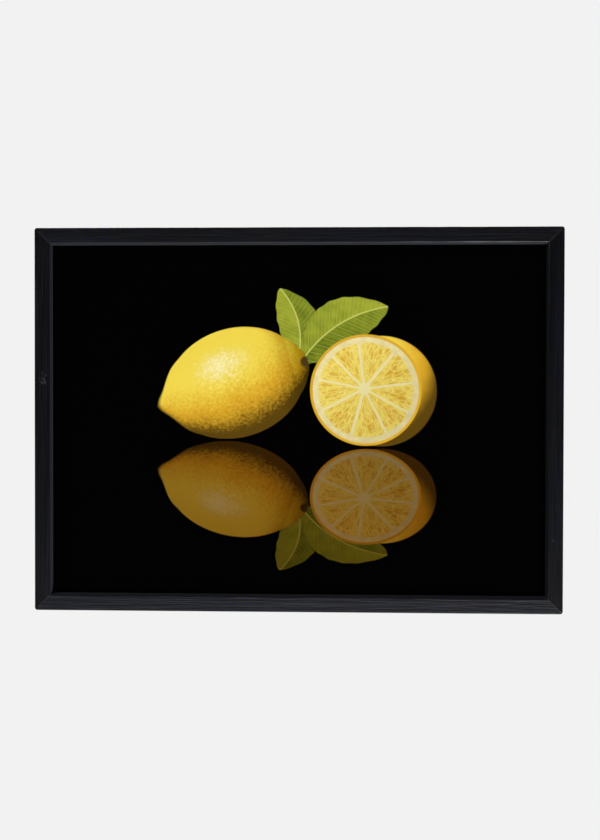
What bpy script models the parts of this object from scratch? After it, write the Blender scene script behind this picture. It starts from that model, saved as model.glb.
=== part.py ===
"""A wall-hung picture in a black-stained wooden frame, 440 x 320 mm outside, landscape.

The frame holds a 420 x 300 mm sheet behind clear acrylic, with a hardboard back that bendable
steel tabs keep in place. Metres, +Z up; the picture faces -Y and its back looks to +Y. The origin
is where the wall nail carries the top hanger: in the middle notch of its teeth, on the wall's
surface.
"""

import math
from collections import namedtuple

import bmesh
import bpy
from mathutils import Vector

MM = 0.001

# Driving sizes of the frame and of what it holds
FRAME_WIDTH = 440 * MM
FRAME_HEIGHT = 320 * MM
MOULDING_WIDTH = 14 * MM
MOULDING_DEPTH = 22 * MM
REBATE_OVERLAP = 5 * MM  # how far the front lip reaches over the sheet
LIP_THICKNESS = 8 * MM
SIGHT_BEVEL_WIDTH = 2 * MM  # the slope from the front face down to the sight edge
SIGHT_BEVEL_DEPTH = 2.5 * MM
ARRIS = 0.4 * MM  # how far the long edges are eased
MITRE_GAP = 0.3 * MM
GAP = 0.3 * MM  # between pieces that rest on each other

SHEET_WIDTH = 420 * MM
SHEET_HEIGHT = 300 * MM
PAPER_THICKNESS = 0.3 * MM
ACRYLIC_THICKNESS = 2 * MM
ACRYLIC_EASING = 0.2 * MM
HARDBOARD_THICKNESS = 3 * MM
HARDBOARD_EASING = 0.3 * MM
BOARD_CLEARANCE = 0.5 * MM  # the stiff boards are this much smaller than the rebate all round

# Bendable tabs, driven into the rebate's wall and pressed down on the back
TAB_WIDTH = 6 * MM
TAB_THICKNESS = 0.6 * MM
TAB_IN_WOOD = 4.7 * MM
TAB_OVER_BOARD = 11 * MM
TAB_TIP_LENGTH = 2.5 * MM
TAB_TIP_RISE = 0.7 * MM
TAB_CORNER = 1 * MM
TABS_ON_LONG_RAIL = 3
TABS_ON_SHORT_RAIL = 2

# Saw-tooth hanger: flat ends on the wood, a raised middle with notches along its lower edge.
# Its places are below the frame's edge, and along from the rail's middle.
HANGER_LENGTH = 42 * MM
HANGER_THICKNESS = 0.8 * MM
HANGER_TOP = 0.8 * MM
HANGER_NOTCHES = 7 * MM
HANGER_TIPS = 8.4 * MM
HANGER_RAISED_LENGTH = 24 * MM
HANGER_SLOPE_LENGTH = 2 * MM
HANGER_CORNER = 1.5 * MM
TOOTH_PITCH = 2.4 * MM
TOOTH_COUNT = 10
NAIL_SPACING = 35 * MM
NAIL_LINE = 4.6 * MM
NAIL_DEPTH_IN_WOOD = 7 * MM
NAIL_TIP_LENGTH = 1.5 * MM
NAIL_SHANK_RADIUS = 0.65 * MM
NAIL_HEAD_RADIUS = 1.6 * MM
NAIL_HEAD_THICKNESS = 0.7 * MM
NAIL_HEAD_EASING = 0.25 * MM

# Felt pads that hold the picture parallel to the wall
WALL_GAP = 2.5 * MM
PAD_RADIUS = 3.6 * MM
PAD_EASING = 0.3 * MM
PAD_FROM_CORNER = 26 * MM

# Steel wedges across each mitre, driven in from the back
WEDGE_LEG = 5 * MM
WEDGE_THICKNESS = 0.8 * MM
WEDGE_DEPTH = 8 * MM
WEDGE_BELOW_BACK = 0.2 * MM
WEDGE_APEX = 3.2 * MM  # in from both outer edges

ROUND_STEPS = 20  # sides of a nail or a pad
CORNER_STEPS = 3  # faces that round a plate's corner
CUTTER_REACH = 1 * MM  # how far a cutter passes the face it opens
MERGE_DISTANCE = 0.01 * MM

# Places that follow from the sizes. "Back" counts from the front face towards the wall.
TOP_Z = HANGER_NOTCHES
CENTRE_Z = TOP_Z - FRAME_HEIGHT / 2
FRONT_Y = -(MOULDING_DEPTH + WALL_GAP)
WALL_BACK = MOULDING_DEPTH + WALL_GAP
REBATE_WALL = MOULDING_WIDTH - REBATE_OVERLAP
POCKET_WIDTH = FRAME_WIDTH - 2 * REBATE_WALL
POCKET_HEIGHT = FRAME_HEIGHT - 2 * REBATE_WALL
ACRYLIC_FRONT = LIP_THICKNESS + GAP
PAPER_FRONT = ACRYLIC_FRONT + ACRYLIC_THICKNESS + GAP
HARDBOARD_FRONT = PAPER_FRONT + PAPER_THICKNESS + GAP
TAB_FRONT = HARDBOARD_FRONT + HARDBOARD_THICKNESS + GAP
HANGER_FLAT_FRONT = MOULDING_DEPTH + GAP
HANGER_RAISED_FRONT = WALL_BACK - HANGER_THICKNESS
NAIL_HEAD_FRONT = HANGER_FLAT_FRONT + HANGER_THICKNESS + GAP

# Each side of the picture is modelled lying along X below Z = 0, with its front face at Y = 0,
# and is then turned about Y to its place.
Side = namedtuple("Side", "name turn edge length tabs has_hanger has_pads")

LEFT_OR_RIGHT = dict(length=FRAME_HEIGHT, tabs=TABS_ON_SHORT_RAIL, has_pads=False)
TOP_OR_BOTTOM = dict(length=FRAME_WIDTH, tabs=TABS_ON_LONG_RAIL, has_pads=True)
SIDES = (
    Side("top", 0, (0, TOP_Z), has_hanger=True, **TOP_OR_BOTTOM),
    Side("bottom", 180, (0, TOP_Z - FRAME_HEIGHT), has_hanger=False, **TOP_OR_BOTTOM),
    Side("left", -90, (-FRAME_WIDTH / 2, CENTRE_Z), has_hanger=True, **LEFT_OR_RIGHT),
    Side("right", 90, (FRAME_WIDTH / 2, CENTRE_Z), has_hanger=False, **LEFT_OR_RIGHT),
)
END_LABELS = (("a", -1), ("b", 1))


def clear_scene():
    for item in list(bpy.data.objects):
        bpy.data.objects.remove(item)


def plain_material(name, colour, roughness, metallic=0.0, alpha=1.0):
    material = bpy.data.materials.new(name)
    material.use_nodes = True
    shader = material.node_tree.nodes["Principled BSDF"]
    shader.inputs["Base Color"].default_value = (*colour, 1.0)
    shader.inputs["Roughness"].default_value = roughness
    shader.inputs["Metallic"].default_value = metallic
    shader.inputs["Alpha"].default_value = alpha
    return material


def as_object(name, shape, material=None, parent=None):
    """Turns a bmesh into a named object."""
    mesh = bpy.data.meshes.new(name)
    shape.to_mesh(mesh)
    shape.free()
    item = bpy.data.objects.new(name, mesh)
    bpy.context.scene.collection.objects.link(item)
    item.parent = parent
    if material:
        mesh.materials.append(material)
    return item


def shade_round(item):
    """Smooth shading that keeps the edges sharper than 30 degrees."""
    item.data.shade_smooth()
    item.data.set_sharp_from_angle(angle=math.radians(30))


# Shapes

def looking_out(shape):
    """A closed shape with its faces turned outwards."""
    bmesh.ops.recalc_face_normals(shape, faces=shape.faces)
    return shape


def looking_forward(shape):
    """An open skin with its faces turned to the picture's front."""
    for face in shape.faces:
        face.normal_update()
        if face.normal.y > 0:
            face.normal_flip()
    return shape


def block(low, high):
    """A box between two corners."""
    low, high = Vector(low), Vector(high)
    shape = bmesh.new()
    bmesh.ops.create_cube(shape, size=1)
    bmesh.ops.scale(shape, vec=high - low, verts=shape.verts)
    bmesh.ops.translate(shape, vec=(low + high) / 2, verts=shape.verts)
    return shape


def turned(outline):
    """A round body about the local Y axis, from (radius, back) points that start and end on it."""
    shape = bmesh.new()
    points = [shape.verts.new((radius, back, 0)) for radius, back in outline]
    edges = [shape.edges.new(pair) for pair in zip(points, points[1:])]
    bmesh.ops.spin(
        shape,
        geom=points + edges,
        axis=(0, 1, 0),
        cent=(0, 0, 0),
        angle=math.tau,
        steps=ROUND_STEPS,
    )
    bmesh.ops.remove_doubles(shape, verts=shape.verts, dist=MERGE_DISTANCE)
    return looking_out(shape)


def prism(outline, along):
    """A closed body: a flat outline of points, drawn along a vector."""
    shape = bmesh.new()
    face = shape.faces.new([shape.verts.new(point) for point in outline])
    grown = bmesh.ops.extrude_face_region(shape, geom=[face])["geom"]
    moved = [part for part in grown if isinstance(part, bmesh.types.BMVert)]
    bmesh.ops.translate(shape, vec=along, verts=moved)
    return looking_out(shape)


def plate(rows, rounded, corner):
    """An open skin between rows of two points, with the corners at the rounded rows rounded."""
    shape = bmesh.new()
    rows = [[shape.verts.new(point) for point in row] for row in rows]
    for (a, b), (c, d) in zip(rows, rows[1:]):
        shape.faces.new((a, b, d, c))
    bmesh.ops.bevel(
        shape,
        geom=[point for number in rounded for point in rows[number]],
        offset=corner,
        segments=CORNER_STEPS,
        profile=0.5,
        affect="VERTICES",
    )
    return looking_forward(shape)


def thicken(item, thickness):
    """Gives a skin that looks forward its thickness towards the wall."""
    thick = item.modifiers.new("thickness", "SOLIDIFY")
    thick.thickness = thickness
    thick.offset = -1
    thick.use_even_offset = True


def subtract(item, cutters):
    """Cuts every object of the list out of item, and hides the cutters."""
    group = bpy.data.collections.new(item.name + " cutters")
    bpy.context.scene.collection.children.link(group)
    for cutter in cutters:
        bpy.context.scene.collection.objects.unlink(cutter)
        group.objects.link(cutter)
        cutter.hide_render = True
        cutter.display_type = "WIRE"
    cut = item.modifiers.new("cut", "BOOLEAN")
    cut.operation = "DIFFERENCE"
    cut.operand_type = "COLLECTION"
    cut.collection = group
    cut.solver = "EXACT"


# The moulding

def moulding(length):
    """A rail of the moulding, with both ends mitred."""
    section = (
        (0, 0),
        (MOULDING_WIDTH - SIGHT_BEVEL_WIDTH, 0),
        (MOULDING_WIDTH, SIGHT_BEVEL_DEPTH),
        (MOULDING_WIDTH, LIP_THICKNESS),
        (REBATE_WALL, LIP_THICKNESS),
        (REBATE_WALL, MOULDING_DEPTH),
        (0, MOULDING_DEPTH),
    )
    outline = [(-length / 2, back, -inward) for inward, back in section]
    shape = prism(outline, (length, 0, 0))

    def is_eased(edge):
        """All the long edges but the one in the rebate's corner."""
        first, second = edge.verts[0].co, edge.verts[1].co
        from_rebate_corner = Vector((-first.z - REBATE_WALL, first.y - LIP_THICKNESS)).length
        return abs(first.x - second.x) > length / 2 and from_rebate_corner > ARRIS

    bmesh.ops.bevel(
        shape,
        geom=[edge for edge in shape.edges if is_eased(edge)],
        offset=ARRIS,
        segments=2,
        profile=0.5,
        affect="EDGES",
    )
    for end in (-1, 1):
        mitre(shape, end, length)
    return looking_out(shape)


def mitre(shape, end, length):
    """Cuts one end of a rail at 45 degrees, half a mitre gap short of the corner's diagonal."""
    normal = Vector((end, 0, -1)).normalized()
    cut = bmesh.ops.bisect_plane(
        shape,
        geom=shape.verts[:] + shape.edges[:] + shape.faces[:],
        plane_co=Vector((end * length / 2, 0, 0)) - normal * MITRE_GAP / 2,
        plane_no=normal,
        clear_outer=True,
    )
    rim = [part for part in cut["geom_cut"] if isinstance(part, bmesh.types.BMEdge)]
    bmesh.ops.contextual_create(shape, geom=rim)


def wedge_body(end, length, growth=0.0):
    """The L-shaped steel wedge across the mitre at one end of a side. Grown by the gap, it is the
    slot that the wedge sits in, open to the back. One leg runs along each of the two rails."""
    near = WEDGE_APEX - WEDGE_THICKNESS / 2 - growth
    far = WEDGE_APEX + WEDGE_THICKNESS / 2 + growth
    reach = WEDGE_APEX + WEDGE_LEG + growth
    back = MOULDING_DEPTH - WEDGE_BELOW_BACK
    front = back - WEDGE_DEPTH - growth
    if growth:
        back = MOULDING_DEPTH + CUTTER_REACH
    corner = ((near, near), (reach, near), (reach, far), (far, far), (far, reach), (near, reach))
    outline = [(end * (length / 2 - along), front, -inward) for along, inward in corner]
    return prism(outline, (0, back - front, 0))


# Tabs

def tab_skin():
    """The front skin of a bendable tab: flat, with its tip turned up off the board."""
    root = REBATE_WALL - TAB_IN_WOOD
    tip = REBATE_WALL + TAB_OVER_BOARD
    bend = tip - TAB_TIP_LENGTH
    line = (
        (root, TAB_FRONT),
        (bend, TAB_FRONT),
        ((bend + tip) / 2, TAB_FRONT + TAB_TIP_RISE / 3),
        (tip, TAB_FRONT + TAB_TIP_RISE),
    )
    half = TAB_WIDTH / 2
    rows = [[(-half, back, -inward), (half, back, -inward)] for inward, back in line]
    return plate(rows, rounded=[-1], corner=TAB_CORNER)


def tab_slot(along):
    reach = TAB_WIDTH / 2 + GAP
    low = (along - reach, TAB_FRONT - GAP, -(REBATE_WALL + CUTTER_REACH))
    high = (along + reach, TAB_FRONT + TAB_THICKNESS + GAP, -(REBATE_WALL - TAB_IN_WOOD - GAP))
    return block(low, high)


def make_tabs(side, place, steel):
    """The tabs of one side, at the middles of equal shares of its length, and their slots."""
    slots = []
    for number in range(side.tabs):
        along = (number + 0.5) * side.length / side.tabs - side.length / 2
        tab = as_object(f"tab_{side.name}_{number + 1}", tab_skin(), steel, place)
        tab.location.x = along
        thicken(tab, TAB_THICKNESS)
        slots.append(as_object(f"{side.name} tab slot {number + 1}", tab_slot(along), None, place))
    return slots


# Hangers and their nails

def hanger_front(along):
    """How far back the hanger's wood side lies at a place along it: flat ends, raised middle."""
    into_slope = HANGER_RAISED_LENGTH / 2 + HANGER_SLOPE_LENGTH - abs(along)
    share = min(max(into_slope / HANGER_SLOPE_LENGTH, 0), 1)
    return HANGER_FLAT_FRONT + share * (HANGER_RAISED_FRONT - HANGER_FLAT_FRONT)


def hanger_skin():
    """The wood side of a saw-tooth hanger, with a notch at its middle."""
    half, raised = HANGER_LENGTH / 2, HANGER_RAISED_LENGTH / 2
    ends = (half, raised + HANGER_SLOPE_LENGTH, raised)
    lower_edge = [(-along, HANGER_TIPS) for along in ends]
    for step in range(1 - TOOTH_COUNT, TOOTH_COUNT):
        drop = HANGER_NOTCHES if step % 2 == 0 else HANGER_TIPS
        lower_edge.append((step * TOOTH_PITCH / 2, drop))
    lower_edge += [(along, HANGER_TIPS) for along in reversed(ends)]

    rows = []
    for along, drop in lower_edge:
        back = hanger_front(along)
        rows.append([(along, back, -HANGER_TOP), (along, back, -drop)])
    return plate(rows, rounded=[0, -1], corner=HANGER_CORNER)


def nail_body():
    head_back = NAIL_HEAD_FRONT + NAIL_HEAD_THICKNESS
    tip = MOULDING_DEPTH - NAIL_DEPTH_IN_WOOD
    return turned((
        (0, tip),
        (NAIL_SHANK_RADIUS, tip + NAIL_TIP_LENGTH),
        (NAIL_SHANK_RADIUS, NAIL_HEAD_FRONT),
        (NAIL_HEAD_RADIUS, NAIL_HEAD_FRONT),
        (NAIL_HEAD_RADIUS, head_back - NAIL_HEAD_EASING),
        (NAIL_HEAD_RADIUS - NAIL_HEAD_EASING, head_back),
        (0, head_back),
    ))


def nail_hole():
    radius = NAIL_SHANK_RADIUS + GAP
    front = MOULDING_DEPTH - NAIL_DEPTH_IN_WOOD - GAP
    back = WALL_BACK + CUTTER_REACH
    return turned(((0, front), (radius, front), (radius, back), (0, back)))


def make_hanger(side, place, steel):
    """The hanger of one side with its two nails. Returns the nails' holes in the wood."""
    hanger = as_object("hanger_" + side.name, hanger_skin(), steel, place)
    thicken(hanger, HANGER_THICKNESS)
    holes = {"wood": [], "hanger": []}
    for label, end in END_LABELS:
        spot = (end * NAIL_SPACING / 2, 0, -NAIL_LINE)
        nail = as_object(f"hanger_nail_{side.name}_{label}", nail_body(), steel, place)
        nail.location = spot
        shade_round(nail)
        for owner in holes:
            hole = as_object(f"{side.name} {owner} nail hole {label}", nail_hole(), None, place)
            hole.location = spot
            holes[owner].append(hole)
    subtract(hanger, holes["hanger"])
    return holes["wood"]


# Felt pads, steel wedges and boards

def make_pads(side, place, felt):
    outline = (
        (0, MOULDING_DEPTH + GAP),
        (PAD_RADIUS, MOULDING_DEPTH + GAP),
        (PAD_RADIUS, WALL_BACK - PAD_EASING),
        (PAD_RADIUS - PAD_EASING, WALL_BACK),
        (0, WALL_BACK),
    )
    for label, end in END_LABELS:
        pad = as_object(f"wall_pad_{side.name}_{label}", turned(outline), felt, place)
        pad.location = (end * (side.length / 2 - PAD_FROM_CORNER), 0, -REBATE_WALL / 2)
        shade_round(pad)


def make_wedges(side, place, steel):
    """The two wedges at the ends of a long side."""
    for label, end in END_LABELS:
        as_object(f"corner_wedge_{side.name}_{label}", wedge_body(end, side.length), steel, place)


def make_board(name, width, height, front, thickness, material, easing=0.0):
    """A flat sheet behind the lip, centred on the picture."""
    low = (-width / 2, FRONT_Y + front, CENTRE_Z - height / 2)
    high = (width / 2, FRONT_Y + front + thickness, CENTRE_Z + height / 2)
    board = as_object(name, block(low, high), material)
    if easing:
        eased = board.modifiers.new("eased edges", "BEVEL")
        eased.width = easing
        eased.segments = 2
    return board


def make_side(side, wood, steel, felt):
    """One rail with all that is fixed to it, and the cuts that these need."""
    place = bpy.data.objects.new(side.name + " side", None)
    bpy.context.scene.collection.objects.link(place)
    place.location = (side.edge[0], FRONT_Y, side.edge[1])
    place.rotation_euler.y = math.radians(side.turn)

    rail = as_object("rail_" + side.name, moulding(side.length), wood, place)
    cutters = make_tabs(side, place, steel)
    for label, end in END_LABELS:
        slot = wedge_body(end, side.length, growth=GAP)
        cutters.append(as_object(f"{side.name} wedge slot {label}", slot, None, place))
    if side.has_hanger:
        cutters += make_hanger(side, place, steel)
    if side.has_pads:
        make_pads(side, place, felt)
        make_wedges(side, place, steel)
    subtract(rail, cutters)


def build():
    clear_scene()
    wood = plain_material("black-stained ash", (0.018, 0.018, 0.021), 0.5)
    acrylic = plain_material("clear acrylic", (0.95, 0.97, 0.97), 0.05, alpha=0.12)
    paper = plain_material("printed paper", (0.01, 0.01, 0.01), 0.6)
    hardboard = plain_material("hardboard", (0.23, 0.13, 0.07), 0.8)
    steel = plain_material("zinc-plated steel", (0.62, 0.62, 0.6), 0.35, metallic=1.0)
    felt = plain_material("grey felt", (0.12, 0.12, 0.12), 0.95)

    for side in SIDES:
        make_side(side, wood, steel, felt)

    stiff = (POCKET_WIDTH - 2 * BOARD_CLEARANCE, POCKET_HEIGHT - 2 * BOARD_CLEARANCE)
    make_board("glazing", *stiff, ACRYLIC_FRONT, ACRYLIC_THICKNESS, acrylic, ACRYLIC_EASING)
    make_board("art_print", SHEET_WIDTH, SHEET_HEIGHT, PAPER_FRONT, PAPER_THICKNESS, paper)
    make_board(
        "backing_board", *stiff, HARDBOARD_FRONT, HARDBOARD_THICKNESS, hardboard, HARDBOARD_EASING
    )


build()
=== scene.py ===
# %% [markdown]
# # A framed picture: moulding, print, pane and what holds them
#
# This lesson dresses the solid model of a wall-hung picture, 440 x 320 mm. The picture faces -Y, its
# back looks to +Y at the wall, +Z is up, and all sizes are metres. The fixed frame gives every
# piece's place, so the finer pieces made here go exactly where the plain solids are.

# %% Load the fixed frame
import math
from collections import namedtuple

import bmesh
import bpy
from mathutils import Matrix, Vector


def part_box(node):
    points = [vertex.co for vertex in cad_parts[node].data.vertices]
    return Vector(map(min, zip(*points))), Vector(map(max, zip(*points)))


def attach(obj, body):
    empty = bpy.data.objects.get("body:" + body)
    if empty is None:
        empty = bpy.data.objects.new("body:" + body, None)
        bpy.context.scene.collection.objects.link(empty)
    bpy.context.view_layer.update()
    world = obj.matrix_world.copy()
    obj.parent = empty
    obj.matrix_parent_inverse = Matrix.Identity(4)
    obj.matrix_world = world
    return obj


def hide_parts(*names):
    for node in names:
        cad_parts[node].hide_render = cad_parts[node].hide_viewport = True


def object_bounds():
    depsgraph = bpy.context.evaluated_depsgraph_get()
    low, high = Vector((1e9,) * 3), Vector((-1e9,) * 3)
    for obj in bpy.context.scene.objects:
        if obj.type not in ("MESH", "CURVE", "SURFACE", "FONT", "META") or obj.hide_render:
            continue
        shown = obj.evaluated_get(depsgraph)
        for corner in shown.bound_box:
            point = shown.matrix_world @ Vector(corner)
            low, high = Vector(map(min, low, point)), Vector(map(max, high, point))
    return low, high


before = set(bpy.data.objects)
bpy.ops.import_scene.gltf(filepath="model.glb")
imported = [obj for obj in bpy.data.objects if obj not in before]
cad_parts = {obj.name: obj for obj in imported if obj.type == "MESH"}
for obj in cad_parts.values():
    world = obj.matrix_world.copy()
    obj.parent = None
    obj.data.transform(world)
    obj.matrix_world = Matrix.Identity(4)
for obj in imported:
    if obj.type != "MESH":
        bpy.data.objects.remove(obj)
CAD_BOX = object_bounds()
MM = 0.001

LOW, HIGH = (Vector(corner) for corner in CAD_BOX)
WIDTH = HIGH.x - LOW.x
HEIGHT = HIGH.z - LOW.z
FRONT_Y = LOW.y
MIDDLE = Vector((0, FRONT_Y, (LOW.z + HIGH.z) / 2))
print("picture: %.0f x %.0f mm, middle at z %.1f mm" % (WIDTH / MM, HEIGHT / MM, MIDDLE.z / MM))

# %% [markdown]
# ## The camera
#
# The photograph was taken from a little right of the middle and a little above it, about 1.1 m away.
# Its vertical edges stay nearly upright, so the camera looks straight at the frame's middle. The
# lens is worked out from the focal length in pixels of an image 840 pixels high.

# %% Camera
IMAGE_HEIGHT_PIXELS = 840
FOCAL_PIXELS = 1326
SENSOR = 36
CAMERA_FROM_MIDDLE = Vector((0.0468, -1.1, 0.0186))
AIM_FROM_MIDDLE = Vector((0.0024, 0, 0.0001))
CAMERA_ROLL = math.radians(0.12)

camera_data = bpy.data.cameras.new("camera")
camera_data.sensor_width = SENSOR
camera_data.lens = SENSOR * FOCAL_PIXELS / IMAGE_HEIGHT_PIXELS
camera_data.clip_start = 0.05
camera = bpy.data.objects.new("camera", camera_data)
bpy.context.collection.objects.link(camera)
camera.location = MIDDLE + CAMERA_FROM_MIDDLE
view_line = AIM_FROM_MIDDLE - CAMERA_FROM_MIDDLE
facing = view_line.to_track_quat("-Z", "Y").to_matrix().to_4x4()
camera.rotation_euler = (facing @ Matrix.Rotation(CAMERA_ROLL, 4, "Z")).to_euler()
bpy.context.scene.camera = camera
print("lens %.1f mm" % camera_data.lens)

# %% [markdown]
# ## Colours and nodes
#
# Colours are picked as sRGB hex values, the way a paint chart gives them, but shaders work with
# linear light, so one function converts them. A second small function adds any node: the first word
# of its kind is the node, the second its operation, and the sources fill its inputs in their order.
# A source is another node's output, a number, or a hex colour. Other inputs are given by name. A
# material starts from plain values on its shader, and gets the outputs of its nodes at the end.

# %% Helpers for materials
MM_PER_UNIT = 1 / MM
SOFT = dict(interpolation_type="SMOOTHSTEP")  # a ramp with soft ends


def linear(hex_colour):
    """Turns an sRGB hex colour into the linear RGBA that shaders use."""
    parts = [int(hex_colour[i:i + 2], 16) / 255 for i in (0, 2, 4)]
    return (*(p / 12.92 if p < 0.04045 else ((p + 0.055) / 1.055) ** 2.4 for p in parts), 1)


def add(kind, *sources, tree=None, output=0, **named):
    """Adds a node to its sources' tree. Names with a capital are inputs, the others its settings."""
    name, *operation = kind.split()
    capitals = [key for key in named if key[0].isupper()]
    filled = dict(enumerate(sources)) | {key: named.pop(key) for key in capitals}
    linked = [key for key in filled if isinstance(filled[key], bpy.types.NodeSocket)]
    tree = tree or filled[linked[0]].id_data
    node = tree.nodes.new("ShaderNode" + name)
    if operation:
        named["blend_type" if name == "MixRGB" else "operation"] = operation[0]
    for key, setting in named.items():
        setattr(node, key, setting)
    for key, source in filled.items():
        if key in linked:
            tree.links.new(source, node.inputs[key])
        else:
            node.inputs[key].default_value = linear(source) if isinstance(source, str) else source
    return node.outputs[output] if node.outputs else None


def new_material(name, **values):
    """Makes a material with plain values on its shader. Its Object coordinates come in millimetres."""
    material = bpy.data.materials.new(name)
    material.use_nodes = True
    shader = material.node_tree.nodes["Principled BSDF"]
    for key, value in values.items():
        shader.inputs[key.replace("_", " ")].default_value = value
    place = add("TexCoord", tree=material.node_tree, output="Object")
    return material, shader, add("VectorMath SCALE", place, Scale=MM_PER_UNIT)


def feed(shader, **sources):
    """Links what the formulas give to a shader's inputs."""
    for key, source in sources.items():
        source.id_data.links.new(source, shader.inputs[key.replace("_", " ")])


print("helpers ready; mid grey is", [round(value, 3) for value in linear("808080")])

# %% [markdown]
# ## Studio light, backdrop and floor
#
# The photograph has a plain pale ground and very soft light. The black print shows no reflection at
# all, so nothing bright may stand where the pane would mirror it to the camera. The main lamp stands
# low on the right, because the inner edges that face it, above and on the left, are the bright ones.
# A weaker one stands high on the far left. The bottom rail has a broad sheen that the other rails
# lack, so a wide, weak strip shines from low in front. One more lamp hangs behind the picture and
# lights only the floor. The world is flat and pale where the camera looks at it. For the light it is
# dim on the room's side and brighter behind, which lights the back in other views, and a little
# brighter to the right and below.

# %% World, lamps and floor
BACKDROP = "F2F2F2"
ROOM_LIGHT = (0.080, 0.084, 0.100, 1)
REAR_LIGHT = (0.85, 0.86, 0.88, 1)
BRIGHT_SIDE = (0.8, 0, -0.6)
SIDE_TONES = (0.4, 1.6)  # how strong the world's light is opposite the bright side, and on it
LAMP_WHITE = (1.0, 0.99, 0.98)
FLOOR_DROP = 1.6  # how far the floor lies below the picture
FLOOR_RADIUS = 2.2
FLOOR_DARK, FLOOR_LIGHT = "EAEAE8", "F2F2F1"

bpy.context.scene.view_settings.view_transform = "Standard"
world = bpy.data.worlds.new("studio")
world.use_nodes = True
bpy.context.scene.world = world
world.node_tree.nodes.clear()
direction = add("TexCoord", tree=world.node_tree)
rearward = add("SeparateXYZ", direction, output="Y")
rear_share = add("MapRange", rearward, 0, 0.8, **SOFT)
light_colour = add("MixRGB", rear_share, ROOM_LIGHT, REAR_LIGHT)
to_bright_side = add("VectorMath DOT_PRODUCT", direction, BRIGHT_SIDE, output="Value")
side_tone = add("MapRange", to_bright_side, -1, 1, *SIDE_TONES)
light_colour = add("VectorMath SCALE", light_colour, Scale=side_tone)
seen = add("LightPath", tree=world.node_tree, output="Is Camera Ray")
add("OutputWorld", add("Background", add("MixRGB", seen, light_colour, BACKDROP)))


def soft_lamp(name, place, size, power, colour, aim=(0, 0, 0)):
    """An area lamp, placed from the picture's middle and aimed at it or beside it, itself unseen."""
    lamp_data = bpy.data.lights.new(name, "AREA")
    lamp_data.shape = "RECTANGLE"
    lamp_data.size, lamp_data.size_y = size
    lamp_data.energy = power
    lamp_data.color = colour
    lamp = bpy.data.objects.new(name, lamp_data)
    lamp.location = MIDDLE + Vector(place)
    lamp.rotation_euler = (Vector(aim) - Vector(place)).to_track_quat("-Z", "Y").to_euler()
    lamp.visible_camera = False
    bpy.context.collection.objects.link(lamp)


soft_lamp("low_right_main", (0.7, -1.05, -1.3), (0.8, 0.6), 52, LAMP_WHITE)
soft_lamp("high_left_fill", (-2.4, -1.6, 1.2), (1.0, 1.2), 46, LAMP_WHITE)
soft_lamp("low_strip", (-0.6, -1.9, -0.95), (2.0, 0.3), 9, (0.84, 0.91, 1.0))
soft_lamp("floor_light", (0, 1.0, 2.6), (1.8, 1.5), 130, LAMP_WHITE, aim=(0, 0.9, -2))

bpy.ops.object.select_all(action="DESELECT")
bpy.ops.mesh.primitive_circle_add(
    vertices=96, radius=FLOOR_RADIUS, fill_type="NGON", location=(0, 0, LOW.z - FLOOR_DROP)
)
floor = bpy.context.object
floor.name = "studio_floor"
material, shader, place = new_material("matt_painted_floor", Roughness=0.9)
mottle = add("TexNoise", place, Scale=0.006, Detail=4)
feed(shader, Base_Color=add("MixRGB", mottle, FLOOR_DARK, FLOOR_LIGHT))
floor.data.materials.append(material)
print("floor %.2f m below the picture" % FLOOR_DROP)

# %% [markdown]
# ## The moulding: four mitred rails
#
# Each side of the frame is a length of one wooden moulding: a flat face, a slope and a short upright
# wall down to the sheet, and behind them the rebate that the sheet lies in. A shaper would mill it
# from a batten. The same steps work here: a batten from a cube, a lip drawn out of its inner face,
# the slope cut by one bisection, eased long edges, then both ends cut at 45 degrees. Bevelled and
# bisected faces stay plain four-sided strips, so they can be divided finely enough to carry the
# wood's open grain as real relief.

# %% Sizes of the moulding, read from the frame
FACE_WIDTH = HIGH.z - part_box("rail_top")[0][2]
WOOD_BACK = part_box("rail_top")[1][1] - FRONT_Y
REBATE_WALL = HIGH.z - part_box("art_print")[1][2] - 1 * MM
LIP_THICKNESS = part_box("glazing")[0][1] - FRONT_Y - 0.3 * MM
SLOPE_WIDTH = 1.3 * MM
SLOPE_DEPTH = 2.5 * MM
ARRIS = 0.6 * MM
JOINT_GAP = 0.02 * MM  # each end stands this far from the mitre's plane, so the joint is a hairline
CORNER_RADIUS = 2.6 * MM  # sanding rounds the frame's outer corners
CORNER_FACETS = (15, 38)  # degrees
LENGTHWISE_CUTS = (11, 11)
GRAIN_STEP = 0.4 * MM  # spacing of the mesh across the grain

Rail = namedtuple("Rail", "name turn edge length seed")
RAILS = (
    Rail("top", 0, HEIGHT / 2, WIDTH, 1),
    Rail("bottom", 180, HEIGHT / 2, WIDTH, 2),
    Rail("left", -90, WIDTH / 2, HEIGHT, 3),
    Rail("right", 90, WIDTH / 2, HEIGHT, 4),
)
print("moulding %.1f x %.1f mm, rebate wall %.1f mm, lip %.1f mm"
      % tuple(size / MM for size in (FACE_WIDTH, WOOD_BACK, REBATE_WALL, LIP_THICKNESS)))


# %% Helpers for editing by place
def choose(piece=None):
    """Leaves edit mode and selects one object alone, or none, as an operator acts on all selected."""
    if bpy.context.mode != "OBJECT":
        bpy.ops.object.mode_set(mode="OBJECT")
    bpy.ops.object.select_all(action="DESELECT")
    if piece:
        piece.select_set(True)
        bpy.context.view_layer.objects.active = piece


def edit(piece):
    """Opens one object's mesh, all of it selected."""
    choose(piece)
    bpy.ops.object.mode_set(mode="EDIT")
    bpy.ops.mesh.select_all(action="SELECT")


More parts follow.
